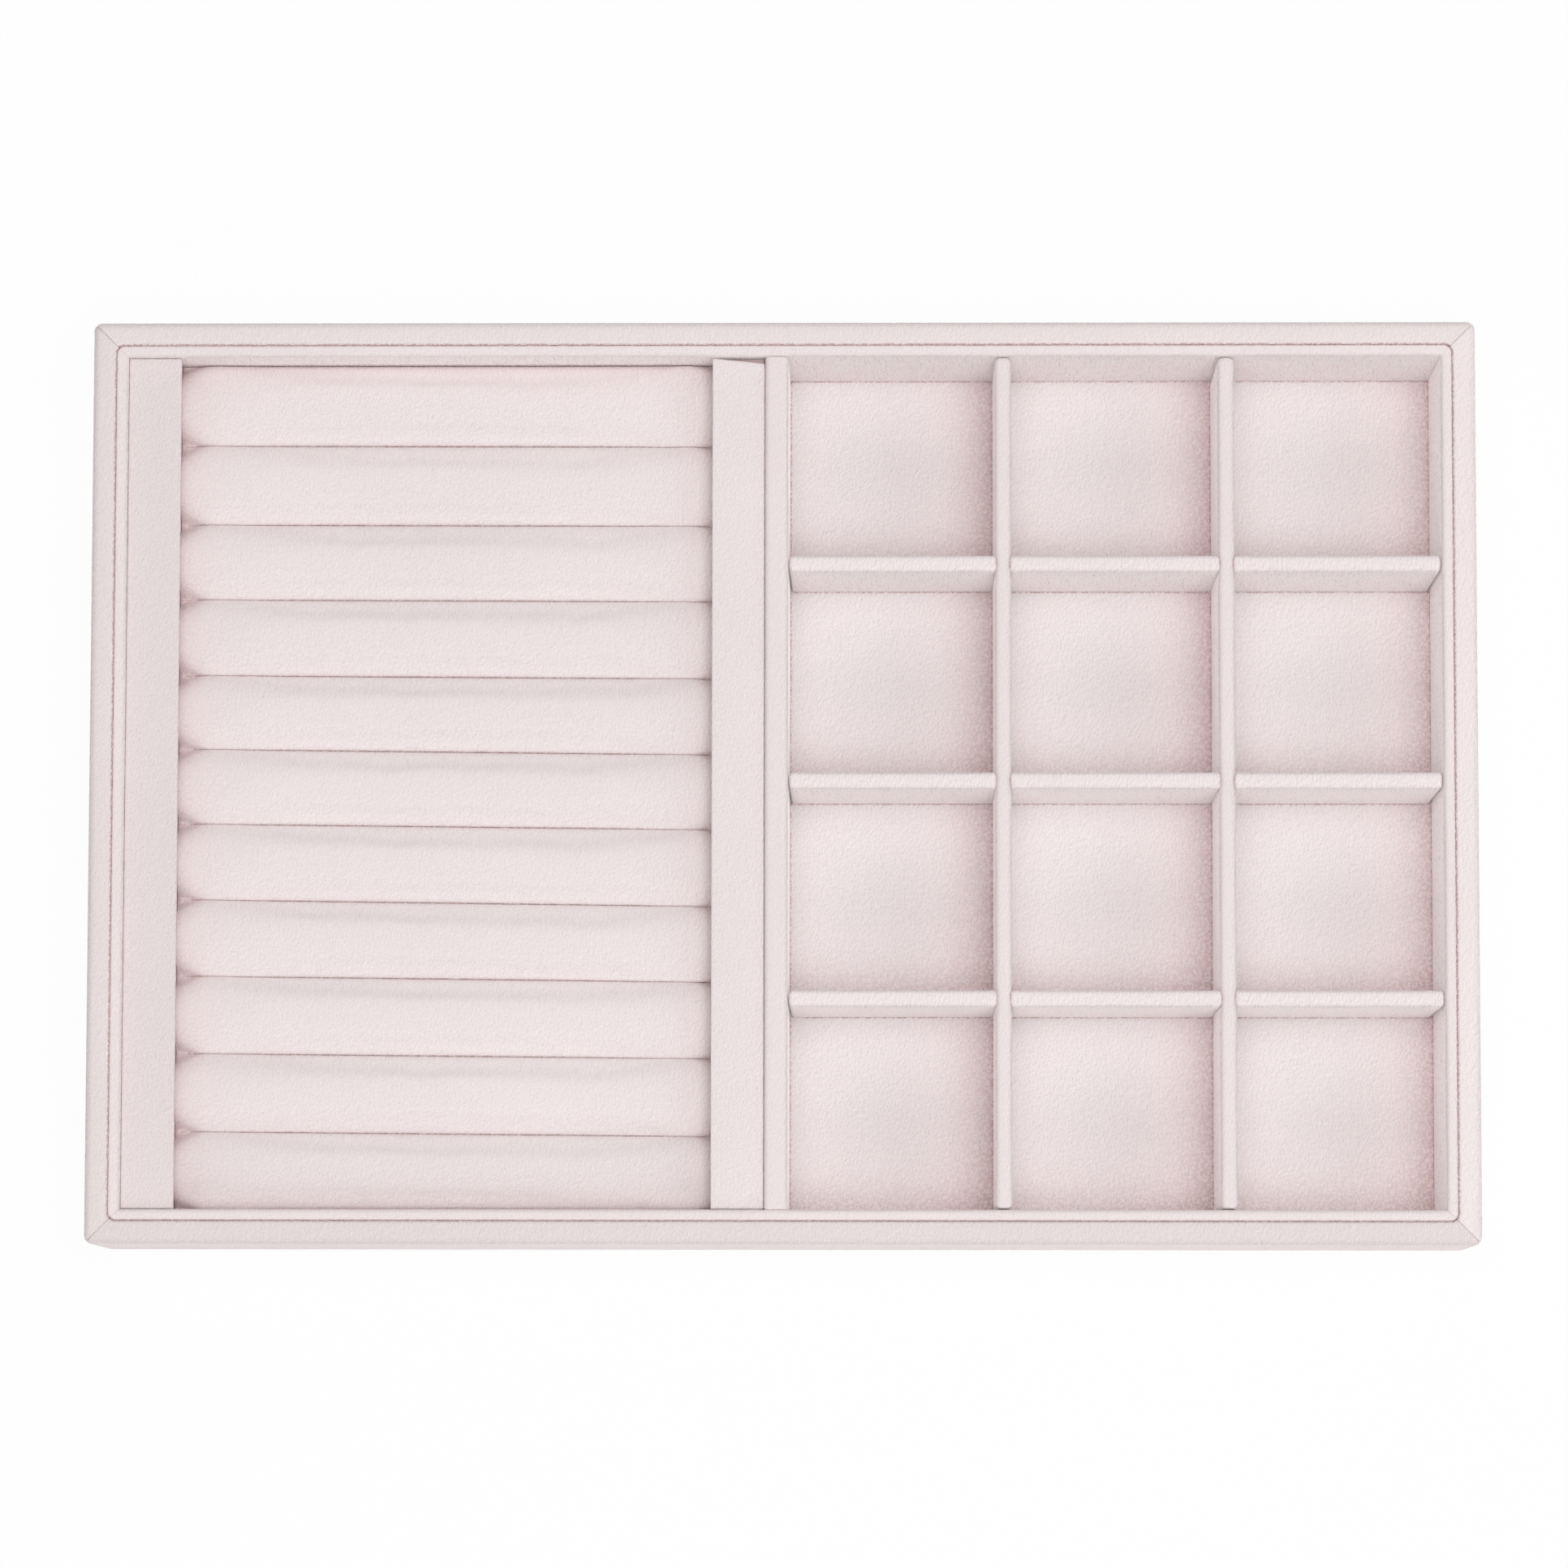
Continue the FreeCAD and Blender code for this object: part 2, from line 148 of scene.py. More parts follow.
# Painted shade, darker rose, on the liners above and below the height where the rolls meet them
PAINTED_SHADE_ABOVE_SEAM = (2.5 * MM, 0.7 * MM)
PAINTED_SHADE_BELOW_SEAM = (3.5 * MM, 1.5 * MM)

# How far the seams between the ring rolls lie in front of an even spacing, from the back one
# to the front one
SEAM_DRIFT_LEFT = np.array((-0.2, 0.7, 1.4, 1.1, 1.0, 0.4, 0, -0.2, -0.3, -0.2, 0, 0.2)) * MM
SEAM_DRIFT_RIGHT = np.array((-0.2, 1.0, 1.7, 1.6, 1.8, 1.7, 1.3, 1.3, 1.0, 0.9, 1.0, 0.2)) * MM

# The velvet's colours, with painted sheen and painted rosy shade on upright faces, and the pile's
# clumps per metre, contrast and relief, each clump painted with a lit side and a shaded side
BLUSH = (0.8975, 0.815, 0.817)
# Darker rose of bare cloth in the seams and of painted shade
BLUSH_BARE_AND_PAINTED_SHADE = (0.57, 0.36, 0.35)
SHADE_ROSE = (1.0, 0.91, 0.905)
SHEEN_TINT = (1.0, 0.92, 0.915, 1)
PALEST = (0.98, 0.98, 0.98)
# Upright faces are painted paler, as painted sheen, and rosier, as painted shade, with stronger
# grain
UPRIGHT_PAINTED_SHEEN = 0.17
UPRIGHT_PAINTED_SHADE = 0.2
UPRIGHT_GRAIN_AND_CLUMP_SHADE = 2.0
# Painted shade, darker rose, on upright faces towards the floor and on the rolls' sides and
# undersides
SIDE_PAINTED_SHADE = 0.12
CREASE_FOLD = 0.9
# Offset of the clump pattern's copy, which paints each clump with a lit side and a shaded side
CLUMP_PAINTED_LIGHT_OFFSET = (-0.15 * MM, 0.07 * MM, 0)
PEBBLES = 1900
FIBRES = 3000
TUFTS = 1600
PATCHES = 26
PEBBLE_PAINTED_SHADE = 0.42
FIBRE_CONTRAST = 0.15
PATCH_CONTRAST = 0.05
PEBBLE_HEIGHT = 0.75
FIBRE_HEIGHT = 0.25
PILE_RELIEF = 0.22 * MM
FLAT_LAY = (1, 0.7, 0.6)
UPRIGHT_LAY = (1, 0.7, 0.15)
CROSS_LAY = (1, 0.5, 0.15)

# Tone and rose of each velvet, then its lay and grain where they aren't those of flat pile.
# The tones and roses that differ between pieces are painted light and shade, set to the light each
# piece gets: the right wall and strip are lighter than the left ones, the front wall darker
VELVET_LOOKS = {
    "front_wall": (0.91, 0.985),
    "right_wall": (1.01, 0.995),
    "back_wall": (0.975, 0.985),
    "left_wall": (0.95, 0.98),
    "liner": (0.985, 0.985, UPRIGHT_LAY, 0.75),
    "upright": (0.965, 0.99, UPRIGHT_LAY, 0.75),
    "cross": (1.0, 0.99, CROSS_LAY, 1.2),
    "floor": (1.03, 1.043),
    "left_strip": (0.925, 0.98),
    "right_strip": (0.965, 0.99),
    "roll": (0.985, 0.995),
}

# Height of each cover's nap, and the seed of its clumps, to which the number of a cover is added
NAPS = {
    "wall": (0.05 * MM, 1),
    "liner": (0.06 * MM, 2),
    "partition": (0.04 * MM, 20),
    "long": (0.04 * MM, 30),
    "cross": (0.1 * MM, 40),
    "floor": (0.03 * MM, 50),
    "strip": (0.03 * MM, 60),
    "roll": (0.035 * MM, 70),
}
NAP_CLUMPS = 900.0
CROSS_NAP_CLUMPS = 820.0

# Name, dark and pale colour, fibres per metre and stretch of the stock inside the covers
STOCKS = {
    "board": ("greyboard", (0.30, 0.26, 0.21, 1), (0.46, 0.41, 0.34, 1), 900, (1, 1, 0.3)),
    "block": ("block_board", (0.50, 0.37, 0.36, 1), (0.60, 0.47, 0.46, 1), 900, (1, 1, 0.3)),
    "card": ("white_card", (0.62, 0.58, 0.53, 1), (0.76, 0.73, 0.68, 1), 1200, (1, 1, 0.4)),
    "foam": ("foam", (0.66, 0.62, 0.52, 1), (0.84, 0.81, 0.72, 1), 1600, (1, 1, 1)),
    "felt": ("base_felt", (0.50, 0.41, 0.40, 1), (0.66, 0.56, 0.55, 1), 1100, (1, 1, 1)),
}

# The studio: its floor, the light from all round, and each soft light's size, power and place
STAGE_SIZE = 6
STAGE_DROP = 0.0002
STAGE_GREY = (0.92, 0.92, 0.92, 1)
STAGE_SHINE = 0.95
WHITE = (1, 1, 1, 1)
AMBIENT = 0.15
SOFT_LIGHTS = (
    ("soft_top", 0.7, 10.5, (0.12, -0.1, 1.5)),
    ("soft_front", 0.9, 4.2, (0.0, -1.0, 0.8)),
    ("soft_right", 0.9, 2.75, (1.0, 0.0, 0.8)),
    ("soft_back", 0.9, 2.4, (0.0, 1.0, 0.9)),
    ("soft_left", 0.9, 1.4, (-1.0, 0.0, 0.8)),
)
SENSOR_WIDTH = 36
LENS_LENGTH = 156.2
CAMERA_PLACE = (0.024, -0.145, 1.5)
CAMERA_AIM = (0.0003, -0.0009)


class Wire:
    """An output socket in a node tree. Arithmetic on wires adds Math nodes to the tree."""

    def __init__(self, tree, socket=None):
        self.tree = tree
        self.socket = socket

    def node(self, kind, settings=None, sockets=None, output=0):
        made = self.tree.nodes.new(kind)
        for name, setting in (settings or {}).items():
            setattr(made, name, setting)
        for key, value in (sockets or {}).items():
            if isinstance(value, Wire):
                self.tree.links.new(value.socket, made.inputs[key])
            else:
                made.inputs[key].default_value = value
        return Wire(self.tree, made.outputs[output] if made.outputs else None)

    def maths(self, operation, first, second):
        return self.node("ShaderNodeMath", {"operation": operation}, {0: first, 1: second})

    def __add__(self, other):
        return self.maths("ADD", self, other)

    def __radd__(self, other):
        return self.maths("ADD", other, self)

    def __sub__(self, other):
        return self.maths("SUBTRACT", self, other)

    def __rsub__(self, other):
        return self.maths("SUBTRACT", other, self)

    def __mul__(self, other):
        return self.maths("MULTIPLY", self, other)

    def __rmul__(self, other):
        return self.maths("MULTIPLY", other, self)

    def noise(self, place, scale, detail=2.0, roughness=0.5, distortion=0.0):
        sockets = {
            "Vector": place,
            "Scale": scale,
            "Detail": detail,
            "Roughness": roughness,
            "Distortion": distortion,
        }
        return self.node("ShaderNodeTexNoise", {"noise_dimensions": "3D"}, sockets)

    def between(self, factor, first, second):
        settings = {"data_type": "RGBA", "clamp_factor": True}
        return self.node("ShaderNodeMix", settings, {0: factor, 6: first, 7: second}, output=2)


def new_finish(name):
    material = bpy.data.materials.new(name)
    material.use_nodes = True
    material.node_tree.nodes.clear()
    return material, Wire(material.node_tree)


def surface(paint, sockets):
    shader = paint.node("ShaderNodeBsdfPrincipled", {}, sockets)
    paint.node("ShaderNodeOutputMaterial", {}, {"Surface": shader})


def velvet_finish(name, tone, rose, lay=FLAT_LAY, grain=1.0):
    """Short dense pile in pebbled clumps, each painted with a lit side and a shaded one, and darker
    rose in the seams and where shade is painted.

    A rose below 1 takes out green and blue. Upright faces are painted paler, as painted sheen, and
    rosier, as painted shade, and where shade is painted on the floor the pile is rosier too.
    """
    material, paint = new_finish(name)
    place = paint.node("ShaderNodeTexCoord", output="Object")
    drawn = paint.node("ShaderNodeMapping", {}, {"Vector": place, "Scale": lay})
    # A copy of the clump pattern, offset, to paint a lit and a shaded side on each clump
    offset_place = paint.node(
        "ShaderNodeMapping", {}, {"Vector": place, "Scale": lay, "Location": CLUMP_PAINTED_LIGHT_OFFSET}
    )
    pebbles, shaded = (
        paint.noise(clumps, PEBBLES, detail=1.0, distortion=0.5) for clumps in (drawn, offset_place)
    )
    fibre = paint.noise(place, FIBRES, detail=1.0)
    patches = paint.noise(place, PATCHES)
    # Shares of bare cloth in seams and painted shade, of upright faces painted paler and rosier,
    # and of painted rosy shade
    fold, stand, shade = (
        paint.node("ShaderNodeAttribute", {"attribute_name": label}, output="Fac")
        for label in ("fold", "stand", "shade")
    )
    # Each clump painted lighter on one side and darker on the other, as painted shade, with random
    # fibres
    painted_clump_shade_and_fibres = (pebbles - shaded) * PEBBLE_PAINTED_SHADE + (fibre - 0.5) * FIBRE_CONTRAST
    painted_relief_and_tone = painted_clump_shade_and_fibres * (stand * UPRIGHT_GRAIN_AND_CLUMP_SHADE + grain) + (patches - 0.5) * PATCH_CONTRAST
    height = pebbles * PEBBLE_HEIGHT + fibre * FIBRE_HEIGHT
    bump = paint.node(
        "ShaderNodeBump", {}, {"Strength": 1.0, "Distance": PILE_RELIEF, "Height": height}
    )
    tufts = paint.node(
        "ShaderNodeMapRange",
        {},
        {
            "Value": paint.noise(place, TUFTS, detail=1.0),
            "From Min": 0.42,
            "From Max": 0.56,
            "To Min": 0.05,
            "To Max": 1.0,
        },
    )
    level = np.array((tone, tone * rose, tone * rose)) * BLUSH
    # Painted rosy shade, on the floor and on upright faces
    rosier = shade + stand * UPRIGHT_PAINTED_SHADE
    blush = paint.between(rosier, (*level, 1), (*(level * SHADE_ROSE), 1))
    # Upright faces painted paler, as painted sheen, with the clumps' painted shade and random tone
    paler = paint.node(
        "ShaderNodeVectorMath",
        {"operation": "SCALE"},
        {"Vector": blush, "Scale": (stand * UPRIGHT_PAINTED_SHEEN + 1.0) * (painted_relief_and_tone + 1.0)},
    )
    pile_colour = paint.node(
        "ShaderNodeVectorMath", {"operation": "MINIMUM"}, {0: paler, 1: PALEST}
    )
    # Darker rose in the seams and where shade is painted
    surface(
        paint,
        {
            "Base Color": paint.between(fold * tufts, pile_colour, BLUSH_BARE_AND_PAINTED_SHADE + (1,)),
            "Roughness": 0.95,
            "Specular IOR Level": 0.1,
            "Sheen Weight": 1.0,
            "Sheen Roughness": 0.3,
            "Sheen Tint": SHEEN_TINT,
            "Normal": bump,
        },
    )
    return material


def fibre_finish(name, dark, pale, scale, stretch):
    """Matt fibrous stock: board, card, felt or foam."""
    material, paint = new_finish(name)
    place = paint.node("ShaderNodeTexCoord", output="Object")
    drawn = paint.node("ShaderNodeMapping", {}, {"Vector": place, "Scale": stretch})
    fibres = paint.noise(drawn, scale, detail=4.0, roughness=0.7)
    mottle = paint.noise(place, scale / 14)
    shade = (fibres - 0.5) * 1.1 + (mottle - 0.5) * 0.6 + 0.5
    bump = paint.node(
        "ShaderNodeBump", {}, {"Strength": 0.4, "Distance": 0.2 * MM, "Height": fibres}
    )
    surface(
        paint,
        {
            "Base Color": paint.between(shade, dark, pale),
            "Roughness": 0.85,
            "Normal": bump,
        },
    )
    return material


def velvet_nap(name):
    """Tree that lifts and lowers the pile all over a cover, in clumps."""
    tree = bpy.data.node_groups.new(name, "GeometryNodeTree")
    inputs = (
        ("Cover", "NodeSocketGeometry"),
        ("Nap height", "NodeSocketFloat"),
        ("Clumps per metre", "NodeSocketFloat"),
        ("Seed", "NodeSocketFloat"),
        ("Velvet", "NodeSocketMaterial"),
    )
    for label, kind in inputs:
        tree.interface.new_socket(label, in_out="INPUT", socket_type=kind)
    tree.interface.new_socket("Cover", in_out="OUTPUT", socket_type="NodeSocketGeometry")
    source = tree.nodes.new("NodeGroupInput")
    given = {label: Wire(tree, source.outputs[label]) for label, kind in inputs}
    work = Wire(tree)
    place = work.node("GeometryNodeInputPosition")
    outward = work.node("GeometryNodeInputNormal")
    clumps = work.node(
        "ShaderNodeTexNoise",
        {"noise_dimensions": "4D"},
        {"Vector": place, "W": given["Seed"], "Scale": given["Clumps per metre"], "Detail": 1.5},
    )
    lift = (clumps - 0.5) * 2.0 * given["Nap height"]
    shift = work.node(
        "ShaderNodeVectorMath", {"operation": "SCALE"}, {"Vector": outward, "Scale": lift}
    )
    raised = work.node(
        "GeometryNodeSetPosition", {}, {"Geometry": given["Cover"], "Offset": shift}
    )
    whole = work.node("GeometryNodeRealizeInstances", {}, {"Geometry": raised})
    covered = work.node(
        "GeometryNodeSetMaterial", {}, {"Geometry": whole, "Material": given["Velvet"]}
    )
    work.node("NodeGroupOutput", {}, {"Cover": covered})
    return tree


def grow(piece, tree, values):
    """Runs a tree on a piece and keeps the result as the piece's plain mesh."""
    modifier = piece.modifiers.new(tree.name, "NODES")
    modifier.node_group = tree
    for socket in tree.interface.items_tree:
        if socket.in_out == "INPUT" and socket.name in values:
            modifier[socket.identifier] = values[socket.name]
    return bake_modifiers(piece)


def bake_modifiers(piece):
    evaluated = piece.evaluated_get(bpy.context.evaluated_depsgraph_get())
    mesh = bpy.data.meshes.new_from_object(evaluated)
    piece.modifiers.clear()
    bare = piece.data
    piece.data = mesh
    bpy.data.meshes.remove(bare)
    mesh.name = piece.name
    mesh.shade_smooth()
    return piece


def eased(start, end, value):
    """Rises smoothly from 0 at start to 1 at end."""
    share = np.clip((np.asarray(value) - start) / (end - start), 0, 1)
    return share * share * (3 - 2 * share)


def foot_fold(height):
    """Share of bare cloth in the seam at an upright face's foot, and of painted shade darkening the
    face towards the floor, at a height above the floor that it stands on.
    """
    seam = eased(1.0 * MM, 0.2 * MM, height)
    return np.maximum(seam, SIDE_PAINTED_SHADE * eased(30 * MM, 4 * MM, height))


def crease_fold(depth):
    """Share of bare cloth between wall and liner, at a depth below their top."""
    return CREASE_FOLD * eased(0.05 * MM, 0.35 * MM, depth)


def upright_painted_light_share(depth):
    """Share of painted sheen, paler, and painted rosy shade on an upright face, with stronger
    grain, at a depth below its top.
    """
    return eased(0.4 * MM, 2.0 * MM, depth)


def closed_piece(name, points, faces, fold=None, stand=None, shade=None):
    """A closed mesh. The first share marks bare cloth in the seams and painted shade, the second an
    upright face painted paler and rosier, the third painted rosy shade beside an upright; each from
    0 to 1."""
    mesh = bpy.data.meshes.new(name)
    mesh.from_pydata(np.asarray(points).tolist(), [], faces)
    shell = bmesh.new()
    shell.from_mesh(mesh)
    bmesh.ops.recalc_face_normals(shell, faces=shell.faces)
    shell.to_mesh(mesh)
    shell.free()
    mesh.shade_smooth()
    for label, shares in (("fold", fold), ("stand", stand), ("shade", shade)):
        if shares is not None:
            attribute = mesh.attributes.new(label, "FLOAT", "POINT")
            attribute.data.foreach_set("value", np.ravel(shares))
    piece = bpy.data.objects.new(name, mesh)
    bpy.context.scene.collection.objects.link(piece)
    return piece


def join_shells(shells):
    """One list of points and of faces from several closed shells, and of each share they carry."""
    points = []
    faces = []
    for shell_points, shell_faces, *_ in shells:
        first = len(points)
        points.extend(shell_points)
        faces.extend(tuple(first + corner for corner in face) for face in shell_faces)
    carried = list(zip(*shells))[2:]
    shares = [np.concatenate([np.ravel(part) for part in parts]) for parts in carried]
    return points, faces, *shares


def strip_faces(rows, columns, first=0):
    """Four-cornered faces of a grid of points."""
    faces = []
    for row in range(rows - 1):
        for column in range(columns - 1):
            corner = first + row * columns + column
            faces.append((corner, corner + 1, corner + columns + 1, corner + columns))
    return faces


def tube_shell(loops):
    """Closed shell through a row of closed loops, with a flat face on each end."""
    stations, around, _ = loops.shape
    faces = []
    for station in range(stations - 1):
        for point in range(around):
            a = station * around + point
            b = station * around + (point + 1) % around
            faces.append((a, b, b + around, a + around))
    faces.append(tuple(range(around)))
    faces.append(tuple(range((stations - 1) * around, stations * around)))
    return loops.reshape(-1, 3).tolist(), faces


def rounded_path(corners, radii, step):
    """Points along a line that turns right at rounded corners, and the way outward at each."""
    corners = [np.array(corner, float) for corner in corners]
    points = []
    outward = []

    def straight(start, end):
        run = end - start
        length = np.linalg.norm(run)
        normal = np.array((-run[1], run[0])) / length
        count = max(1, round(length / step))
        for k in range(count + 1):
            points.append(start + run * k / count)
            outward.append(normal)

    start = corners[0]
    for before, corner, after, radius in zip(corners, corners[1:], corners[2:], radii):
        arriving = (corner - before) / np.linalg.norm(corner - before)
        leaving = (after - corner) / np.linalg.norm(after - corner)
        straight(start, corner - arriving * radius)
        centre = corner - arriving * radius + leaving * radius
        for k in range(1, ARC_STEPS):
            turn = math.pi / 2 * k / ARC_STEPS
            normal = -leaving * math.cos(turn) + arriving * math.sin(turn)
            points.append(centre + normal * radius)
            outward.append(normal)
        start = corner + leaving * radius
    straight(start, corners[-1])
    return np.array(points), np.array(outward)


def round_in(run, radius):
    """How far a rounded edge has drawn in at a run from its end."""
    left = np.clip(radius - run, 0, radius)
    return radius - math.sqrt(radius**2 - left**2)


def corner_plan(half, offset, run, bend):
    """Place along a wall, and in from its outer face, at an offset from that face and a run from
    the mitre of a rounded corner."""
    quarter = bend * math.pi / 4
    turn = math.pi / 4 - np.minimum(run, quarter) / np.maximum(bend, 1e-9)
    centre = offset + bend
    on_bend = run < quarter
    turned = half - centre + bend * np.sin(turn)
    along = np.where(on_bend, turned, half - centre - (run - quarter))
    inset = np.where(on_bend, centre - bend * np.cos(turn), offset)
    return along, inset


def to_side(side, along, inset, height):
    """Points of one side of the tray, from places along it and in from its outer face."""
    if side == "front":
        return np.stack((along, inset - tray_width / 2, height), -1)
    if side == "right":
        return np.stack((tray_length / 2 - inset, along, height), -1)
    if side == "back":
        return np.stack((-along, tray_width / 2 - inset, height), -1)
    return np.stack((inset - tray_length / 2, -along, height), -1)


def mitred_cover(name, side, outer, outward, inner, crease, upright, bends, cut_edge):
    """A skin swept along one side of the tray and mitred at both ends, its cut edges rolled in.

    Bends are offsets from the outer face, and the radius that the corner has in plan at each. The
    further a cut edge rolls in, the more bare cloth it shows.
    """
    half = (tray_length if side in ("front", "back") else tray_width) / 2
    ends = []
    for run in CUT_RUNS:
        rolled = outer - outward * round_in(run, cut_edge) * CUT_DRAW
        loop = np.vstack((rolled, inner[::-1]))
        bend = np.interp(loop[:, 0], *bends)
        along, inset = corner_plan(half, loop[:, 0], run, bend)
        ends.append((along, inset, loop[:, 1]))
    loops = [to_side(side, -along, inset, height) for along, inset, height in ends]
    along, inset, height = ends[-1]
    count = round(2 * half / COVER_STEP)
    for k in range(1, count):
        loops.append(to_side(side, along * (2 * k / count - 1), inset, height))
    loops += [to_side(side, a, i, h) for a, i, h in reversed(ends)]
    cut = cut_edge / MM * np.exp(-CUT_RUNS / CUT_FOLD_LENGTH)
    section = np.concatenate((crease, np.ones(len(inner))))
    fold = [np.maximum(section, share) for share in (*cut, *np.zeros(count - 1), *cut[::-1])]
    # Upright faces painted paler, as painted sheen, and rosier, as painted shade
    stand = np.tile(np.concatenate((upright, np.zeros(len(inner)))), len(loops))
    return closed_piece(name, *tube_shell(np.array(loops)), fold, stand)


def saddle_shell(low, high, along, edge, end_radius, pinches=(), pinch=0.0, tucked=0.0):
    """Cover folded over an upright: closed over its top and ends, open below."""
    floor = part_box("floor_velvet")[1].z
    across = 1 - along
    half = (high[across] - low[across]) / 2
    middle = (high[across] + low[across]) / 2
    path = [(-half, low.z), (-half, high.z), (half, high.z), (half, low.z)]
    outer, _ = rounded_path(path, (edge, edge), COVER_STEP * SADDLE_SECTION_STEP)
    skin = VELVET_THICKNESS
    inside = half - skin
    top = high.z - skin
    inner = np.array([(-inside, low.z), (-inside, top), (inside, top), (inside, low.z)])
    runs = SADDLE_END_RUNS * end_radius
    count = round((high[along] - low[along] - 2 * end_radius) / COVER_STEP)
    spread = np.linspace(low[along] + end_radius, high[along] - end_radius, count + 1)[1:-1]
    stations = np.concatenate((low[along] + runs, spread, (high[along] - runs)[::-1]))

    def placed(loop, station):
        point = np.empty((len(loop), 3))
        point[:, along] = station
        point[:, across] = middle + loop[:, 0]
        point[:, 2] = loop[:, 1]
        return point

    outer_loops = []
    inner_loops = []
    folds = []
    upright_painted_light_shares = []
    for station in stations:
        run = min(station - low[along], high[along] - station)
        drawn = round_in(run, end_radius)
        squeeze = sum(math.exp(-(((station - at) / PINCH_LENGTH) ** 2)) for at in pinches)
        loop = outer.copy()
        near_top = np.clip(1 - (high.z - loop[:, 1]) / PINCH_DEPTH, 0, 1)
        loop[:, 0] *= (half - drawn - pinch * squeeze * near_top) / half
        loop[:, 1] -= drawn * SADDLE_END_DROP * near_top + PINCH_DROP * pinch * squeeze * near_top
        outer_loops.append(placed(loop, station))
        tuck = tucked * eased(TUCK_LENGTH, 0, run)
        # Seam and painted shade at the foot, and painted sheen and rosy shade on the upright faces
        folds.append(np.maximum(foot_fold(loop[:, 1] - floor), tuck))
        upright_painted_light_shares.append(upright_painted_light_share(high.z - loop[:, 1]))
        core = inner.copy()
        core[:, 0] *= (half - pinch * squeeze) / half
        at = min(max(station, low[along] + skin), high[along] - skin)
        inner_loops.append(placed(core, at))
    rows = len(stations)
    columns = len(outer)
    points = np.vstack(outer_loops + inner_loops).tolist()
    first = rows * columns
    inner_columns = len(inner)
    faces = strip_faces(rows, columns) + strip_faces(rows, inner_columns, first)
    for row in range(rows - 1):
        a = row * columns
        b = first + row * inner_columns
        faces.append((a, a + columns, b + inner_columns, b))
        a += columns - 1
        b += inner_columns - 1
        faces.append((a, a + columns, b + inner_columns, b))
    for row in (0, rows - 1):
        a = row * columns
        b = first + row * inner_columns
        faces.append(tuple(range(a, a + columns)))
        faces.append(tuple(range(b, b + inner_columns)))
        faces.append((a, a + columns - 1, b + inner_columns - 1, b))
    hidden = rows * inner_columns
    folds = np.append(folds, np.ones(hidden))
    upright_painted_light_shares = np.append(upright_painted_light_shares, np.zeros(hidden))
    return points, faces, folds, upright_painted_light_shares


def dress(piece, body, slot, *nodes):
    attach(piece, body)
    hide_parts(*nodes)


nap = velvet_nap("velvet_nap")
velvets = {
    place: velvet_finish(f"{place}_velvet", *looks) for place, looks in VELVET_LOOKS.items()
}


def napped(piece, kind, finish, number=0, clumps=NAP_CLUMPS):
    """Grows the nap of a kind of cover on a piece."""
    height, seed = NAPS[kind]
    values = {
        "Nap height": height,
        "Clumps per metre": clumps,
        "Seed": seed + number,
        "Velvet": velvets[finish],
    }
    return grow(piece, nap, values)


def fold_behind_rolls(cover):
    """Paints shade, darker rose, on a liner above and below where the ring rolls meet it."""
    places = np.empty(len(cover.data.vertices) * 3)
    cover.data.vertices.foreach_get("co", places)
    x, _, z = places.reshape(-1, 3).T
    shares = cover.data.attributes["fold"].data
    fold = np.empty(len(shares))
    shares.foreach_get("value", fold)
    in_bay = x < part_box("partition_velvet")[0].x
    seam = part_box("ring_roll_01_sleeve")[1].z - ROLL_RISE
    above = eased(seam + PAINTED_SHADE_ABOVE_SEAM[0], seam + PAINTED_SHADE_ABOVE_SEAM[1], z)
    below = eased(seam - PAINTED_SHADE_BELOW_SEAM[0], seam - PAINTED_SHADE_BELOW_SEAM[1], z)
    shares.foreach_set("value", np.maximum(fold, in_bay * above * below))


